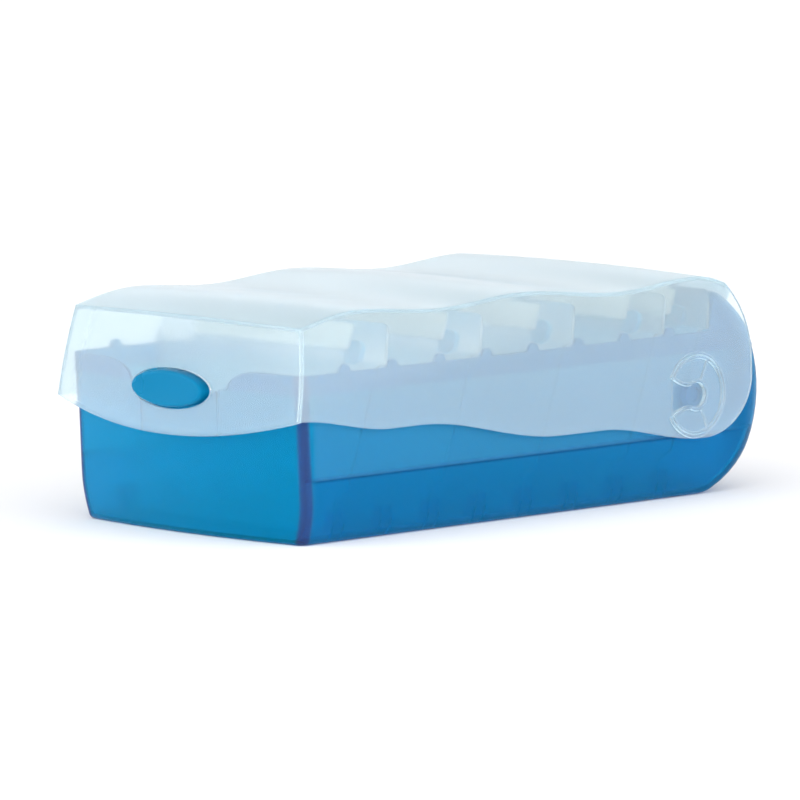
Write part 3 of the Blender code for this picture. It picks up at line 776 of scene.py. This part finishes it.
def moulded_bump(nodes, grain, strength):
    """Fine moulded grain with a slow flow ripple under it."""
    place = nodes.add("ShaderNodeTexCoord").outputs["Object"]
    fine = nodes.add("ShaderNodeTexNoise", {"Vector": place, "Scale": grain, "Detail": 3.0, "Roughness": 0.6})
    slow = nodes.add("ShaderNodeTexNoise", {"Vector": place, "Scale": 45.0, "Detail": 1.0})
    mixed = nodes.add("ShaderNodeMath", {0: slow.outputs["Fac"], 1: 0.35, 2: fine.outputs["Fac"]},
                      operation="MULTIPLY_ADD")
    return nodes.add("ShaderNodeBump", {"Height": mixed.outputs[0], "Strength": strength, "Distance": 0.0002})


def ramp(nodes, value, start, end, low, high):
    """Goes in a straight line from low to high as a value goes from start to end."""
    return nodes.add("ShaderNodeMapRange", {"Value": value, "From Min": start, "From Max": end,
                                            "To Min": low, "To Max": high}).outputs["Result"]


def varied(nodes, low, high, scale):
    """A value that drifts between low and high over the surface."""
    place = nodes.add("ShaderNodeTexCoord").outputs["Object"]
    noise = nodes.add("ShaderNodeTexNoise", {"Vector": place, "Scale": scale, "Detail": 2.0})
    return ramp(nodes, noise.outputs["Fac"], 0.3, 0.7, low, high)


def haze_by_angle(nodes, face_on, grazing, normal):
    """The milky share: it grows at grazing angles, where the path through the wall is longer."""
    facing = nodes.add("ShaderNodeLayerWeight", {"Blend": 0.5, "Normal": normal}).outputs["Facing"]
    curve = nodes.add("ShaderNodeMath", {0: facing, 1: 2.5}, operation="POWER").outputs[0]
    return ramp(nodes, curve, 0.0, 1.0, face_on, grazing)


def translucent_plastic(nodes, clear_tint, milk_tint, haze, roughness, through_share=0.3,
                        sheen=(1.0, 1.0, 1.0, 1), depth=None):
    """Moulded plastic that passes light: a blurred clear share and a milky share that scatters."""
    normal = moulded_bump(nodes, 900.0, 0.06).outputs["Normal"]
    rough = varied(nodes, roughness * 0.9, roughness * 1.1, 60.0)
    surface = {"Roughness": rough, "IOR": 1.4, "Normal": normal, "Specular Tint": sheen}
    clear = nodes.add("ShaderNodeBsdfPrincipled",
                      {"Base Color": clear_tint, "Transmission Weight": 1.0, **surface})
    skin = nodes.add("ShaderNodeBsdfPrincipled",
                     {"Base Color": milk_tint, "Specular IOR Level": 0.3, **surface})
    through = nodes.add("ShaderNodeBsdfTranslucent", {"Color": milk_tint, "Normal": normal})
    milky = nodes.add("ShaderNodeMixShader", {0: through_share, 1: skin.outputs[0], 2: through.outputs[0]})
    share = haze_by_angle(nodes, *haze, normal)
    mix = nodes.add("ShaderNodeMixShader", {0: share, 1: clear.outputs[0], 2: milky.outputs[0]})
    volume = None
    if depth:
        tint, density = depth
        volume = nodes.add("ShaderNodeVolumeAbsorption", {"Color": tint, "Density": density}).outputs[0]
    return nodes.finish(mix.outputs[0], volume)


def ramp_between(nodes, value, start, end, high=1.0):
    """Rises smoothly from 0 to high as a value goes from start to end."""
    return nodes.add("ShaderNodeMapRange",
                     {"Value": value, "From Min": start, "From Max": end, "To Max": high},
                     interpolation_type="SMOOTHSTEP").outputs["Result"]


def added(nodes, first, second):
    """The sum of two values."""
    return nodes.add("ShaderNodeMath", {0: first, 1: second}, operation="ADD").outputs[0]


def layered(nodes, base, layers):
    """A colour with further colours laid over it, each by its own mask."""
    for mask, colour in layers:
        mix = nodes.add("ShaderNodeMix", {0: mask, 6: base, 7: colour}, data_type="RGBA")
        base = mix.outputs[2]
    return base


def distance_in(nodes, axis_value, centre):
    """Distance of a coordinate from a centre value."""
    offset = nodes.add("ShaderNodeMath", {0: axis_value, 1: centre}, operation="SUBTRACT").outputs[0]
    return nodes.add("ShaderNodeMath", {0: offset}, operation="ABSOLUTE").outputs[0]


def product(nodes, *values):
    """Several values multiplied together."""
    total = values[0]
    for value in values[1:]:
        total = nodes.add("ShaderNodeMath", {0: total, 1: value}, operation="MULTIPLY").outputs[0]
    return total


# Tray tints: of the light that passes straight through, and of the milky share; apart from the side walls'
# blue and the rim band, they are painted shade on one and the same plastic
TRAY_TINTS_AND_SHADE = {
    # front face: the blue painted a little deeper than the sides, as painted shade against the front lights'
    # sheen
    "front": ((0.07, 0.76, 0.99, 1), (0.0, 0.40, 0.63, 1)),
    "sides": ((0.13, 0.76, 1.0, 1), (0.07, 0.42, 0.68, 1)),
    # painted shade: deeper below the inner ledge, where the space beneath it is shaded
    "painted_shade_below_ledge": ((0.03, 0.64, 1.0, 1), (0.0, 0.31, 0.58, 1)),
    "rim_band": ((0.03, 0.46, 0.86, 1), (0.01, 0.24, 0.52, 1)),
    # painted shade: a dark line along the inner ledge
    "painted_ledge_shade_line": ((0.0, 0.30, 0.60, 1), (0.0, 0.10, 0.28, 1)),
    # painted shade: deeper on the rear drum
    "rear": ((0.0, 0.50, 0.84, 1), (0.0, 0.22, 0.42, 1)),
    # painted shade: violet-navy on the rounded front corners
    "corners": ((0.20, 0.22, 0.50, 1), (0.10, 0.13, 0.32, 1)),
}


def tray_plastic():
    """The tray's blue, with painted shade: a little deeper on the front face, deeper below the ledge, a dark
    line at the ledge, deeper on the rear drum and violet on the front corners; deeper in the rim band under
    the rim.
    """
    nodes = Nodes("blue_look")
    place = nodes.add("ShaderNodeTexCoord").outputs["Object"]
    x, y, z = (nodes.add("ShaderNodeSeparateXYZ", {0: place}).outputs[axis] for axis in "XYZ")
    band = ramp_between(nodes, z, BAND_Z - 0.0004, BAND_Z + 0.0004, 0.8)
    # the side walls' blue is laid over everything behind the front face, whose copy is painted a little
    # deeper as painted shade
    behind_front = ramp_between(nodes, y, FRONT_Y + 0.002, FRONT_Y + 0.004)
    # painted shade below the ledge, behind the front face
    low = product(nodes, ramp_between(nodes, z, LEDGE_Z + 0.0006, LEDGE_Z), behind_front)

    tuck = ramp(nodes, z, 0.0, TUCK_HEIGHT, 1.0, 0.0)
    tucked_in = product(nodes, tuck, tuck, TRAY_HALF - FLOOR_HALF)
    side = added(nodes, distance_in(nodes, x, 0.0), tucked_in)
    front = nodes.add("ShaderNodeMath", {0: z, 1: FRONT_LEAN, 2: y}, operation="MULTIPLY_ADD").outputs[0]
    # painted shade on the rounded front corners
    corner = product(nodes, ramp_between(nodes, side, TRAY_HALF - 0.0046, TRAY_HALF - 0.0026),
                     ramp_between(nodes, front, FRONT_Y + 0.0040, FRONT_Y + 0.0022))
    # painted shade: a dark line along the ledge, behind the front face
    ledge_shade_mask = ramp_between(nodes, distance_in(nodes, z, LEDGE_Z), 0.0006, 0.0003, 0.7)
    line = product(nodes, ledge_shade_mask, behind_front)
    # painted shade: the rear drum painted deeper
    rear = ramp_between(nodes, y, HINGE.y + 0.014, HINGE.y + 0.034)
    layers = [(behind_front, "sides"), (low, "painted_shade_below_ledge"), (band, "rim_band"), (line, "painted_ledge_shade_line"),
              (rear, "rear"), (corner, "corners")]
    clear_tint, milk_tint = (
        layered(nodes, TRAY_TINTS_AND_SHADE["front"][share], [(mask, TRAY_TINTS_AND_SHADE[part][share]) for mask, part in layers])
        for share in (0, 1))
    return translucent_plastic(nodes, clear_tint, milk_tint, (0.32, 0.6), 0.2, sheen=(0.0, 0.5, 1.0, 1),
                               depth=((0.0, 0.80, 0.95, 1), 300.0))


def lid_plastic():
    """The lid's frosted clear plastic, less frosted over the hinge channels and whiter on its low edge."""
    nodes = Nodes("lid_look")
    place = nodes.add("ShaderNodeTexCoord").outputs["Object"]
    y, z = (nodes.add("ShaderNodeSeparateXYZ", {0: place}).outputs[axis] for axis in "YZ")
    middle, half = HINGE.y - 0.0042, 0.0090
    thin = product(nodes, ramp_between(nodes, distance_in(nodes, z, HINGE.z), 0.0056, 0.0042),
                   ramp_between(nodes, distance_in(nodes, y, middle), half + 0.0006, half - 0.0006, 0.11))
    normal = nodes.add("ShaderNodeNewGeometry").outputs["Normal"]
    down = nodes.add("ShaderNodeSeparateXYZ", {0: normal}).outputs["Z"]
    under_side = ramp_between(nodes, down, -0.4, -0.7, 0.7)
    low_edge = product(nodes, under_side, ramp_between(nodes, z, 0.064, 0.060))
    face_on = nodes.add("ShaderNodeMath", {0: 0.20, 1: thin}, operation="SUBTRACT").outputs[0]
    face_on = added(nodes, face_on, low_edge)
    return translucent_plastic(nodes, (0.93, 0.985, 1.0, 1), (0.77, 0.94, 1.0, 1), (face_on, 0.9), 0.13)


def label_card():
    """Plain cream card with a soft fibre mottle."""
    nodes = Nodes("label_card_look")
    place = nodes.add("ShaderNodeTexCoord").outputs["Object"]
    fibre = nodes.add("ShaderNodeTexNoise",
                      {"Vector": place, "Scale": 700.0, "Detail": 5.0, "Roughness": 0.7})
    shade = nodes.add("ShaderNodeMix", {0: fibre.outputs["Fac"], 6: (0.84, 0.82, 0.74, 1),
                                        7: (0.89, 0.87, 0.80, 1)}, data_type="RGBA")
    bump = nodes.add("ShaderNodeBump", {"Height": fibre.outputs["Fac"], "Strength": 0.2, "Distance": 0.0001})
    card = nodes.add("ShaderNodeBsdfPrincipled", {"Base Color": shade.outputs[2], "Roughness": 0.85,
                                                  "Normal": bump.outputs["Normal"]})
    return nodes.finish(card.outputs[0])


def paint(obj, material):
    """Gives an object one material."""
    obj.data.materials.clear()
    obj.data.materials.append(material)


# ---------------------------------------------------------------- stage, light and camera

def build_floor():
    """A large plain pale floor."""
    bm = bmesh.new()
    bmesh.ops.create_grid(bm, x_segments=1, y_segments=1, size=6.0)
    floor = finish_mesh("floor", bm)
    floor.location.z = -0.0002
    nodes = Nodes("floor_look")
    paper = nodes.add("ShaderNodeBsdfDiffuse", {"Color": (0.93, 0.93, 0.93, 1)})
    paint(floor, nodes.finish(paper.outputs[0]))


def build_world():
    """White surroundings: pure white to the camera, brighter in front than behind or above."""
    world = bpy.data.worlds.new("studio")
    bpy.context.scene.world = world
    nodes = Nodes("studio", world)
    place = nodes.add("ShaderNodeTexCoord").outputs["Generated"]
    height = nodes.add("ShaderNodeSeparateXYZ", {0: place}).outputs["Z"]
    front = nodes.add("ShaderNodeVectorMath", {0: place, 1: (0.7, -0.7, 0.0)}, operation="DOT_PRODUCT")
    around = ramp(nodes, front.outputs["Value"], -1.0, 1.0, 1.05, 3.35)
    dome = ramp(nodes, height, 0.0, 0.5, 1.12, 0.46)
    light = product(nodes, around, dome)
    seen = nodes.add("ShaderNodeLightPath").outputs["Is Camera Ray"]
    strength = nodes.add("ShaderNodeMix", {"Factor": seen, "A": light, "B": 1.05}, data_type="FLOAT")
    sky = nodes.add("ShaderNodeBackground",
                    {"Color": (1.0, 1.0, 1.02, 1), "Strength": strength.outputs["Result"]})
    nodes.add("ShaderNodeOutputWorld", {"Surface": sky.outputs[0]})


def area_light(name, place, target, size, power):
    """A soft box aimed at a point."""
    light = bpy.data.lights.new(name, "AREA")
    light.shape = "RECTANGLE"
    light.size, light.size_y = size
    light.energy = power
    obj = bpy.data.objects.new(name, light)
    bpy.context.scene.collection.objects.link(obj)
    obj.location = place
    obj.rotation_euler = (Vector(target) - Vector(place)).to_track_quat("-Z", "Y").to_euler()


def build_camera():
    """A long lens at the three-quarter view, looking slightly down."""
    azimuth, elevation = math.radians(44.88), math.radians(6.694)
    distance, aim_right, aim_up = 3.34884, 0.081024, 0.0517
    back = Vector((math.sin(azimuth) * math.cos(elevation), -math.cos(azimuth) * math.cos(elevation),
                   math.sin(elevation)))
    right = Vector((math.cos(azimuth), math.sin(azimuth), 0.0))
    up = back.cross(right)
    camera_data = bpy.data.cameras.new("camera")
    camera_data.lens = 383.9
    camera_data.sensor_width = 36.0
    camera_data.clip_end = 50.0
    camera = bpy.data.objects.new("camera", camera_data)
    bpy.context.scene.collection.objects.link(camera)
    place = Vector((0.0, FRONT_Y, 0.0)) + back * distance + right * aim_right + up * aim_up
    turn = Matrix((right, up, back)).transposed().to_4x4()
    camera.matrix_world = Matrix.Translation(place) @ turn
    bpy.context.scene.camera = camera


def main():
    """Builds every piece, paints it, and sets the stage."""
    blue = tray_plastic()
    button = translucent_plastic(Nodes("button_look"), (0.04, 0.56, 0.90, 1), (0.0, 0.27, 0.50, 1),
                                 (0.75, 0.85), 0.3, sheen=(0.3, 0.7, 1.0, 1))
    marker = translucent_plastic(Nodes("marker_look"), (0.05, 0.80, 1.0, 1), (0.0, 0.68, 1.0, 1),
                                 (0.9, 0.95), 0.3)
    clear = lid_plastic()
    frosted = translucent_plastic(Nodes("divider_look"), (0.97, 0.99, 1.0, 1), (0.95, 0.98, 1.0, 1),
                                  (0.15, 0.5), 0.15)
    card = label_card()
    paint(build_tray(), blue)
    latch = build_latch()
    paint(latch, blue)
    latch.data.materials.append(button)
    for face in latch.data.polygons:
        face.material_index = int(face.center.y < FRONT_Y - FRONT_LEAN * BUTTON_Z - BOW - 0.0004)
    paint(build_lid(), clear)
    for number, foot in enumerate(FEET, start=1):
        panel, label, clip = build_divider(number, foot)
        paint(panel, frosted)
        paint(label, card)
        paint(clip, marker)
    build_floor()
    build_world()
    area_light("front_box", (-0.5, -1.4, 0.55), (0, 0, 0.05), (1.2, 0.5), 5.0)
    area_light("side_box", (1.3, 0.3, 0.5), (0, 0, 0.05), (1.2, 0.5), 5.0)
    area_light("back_strip", (-1.0, 1.1, 0.43), (0, 0.1, 0.08), (1.6, 0.16), 0.25)
    build_camera()
    bpy.context.scene.view_settings.view_transform = "Standard"
    cycles = bpy.context.scene.cycles
    cycles.max_bounces = 32
    cycles.transmission_bounces = 32
    cycles.diffuse_bounces = 16
    cycles.glossy_bounces = 16


main()
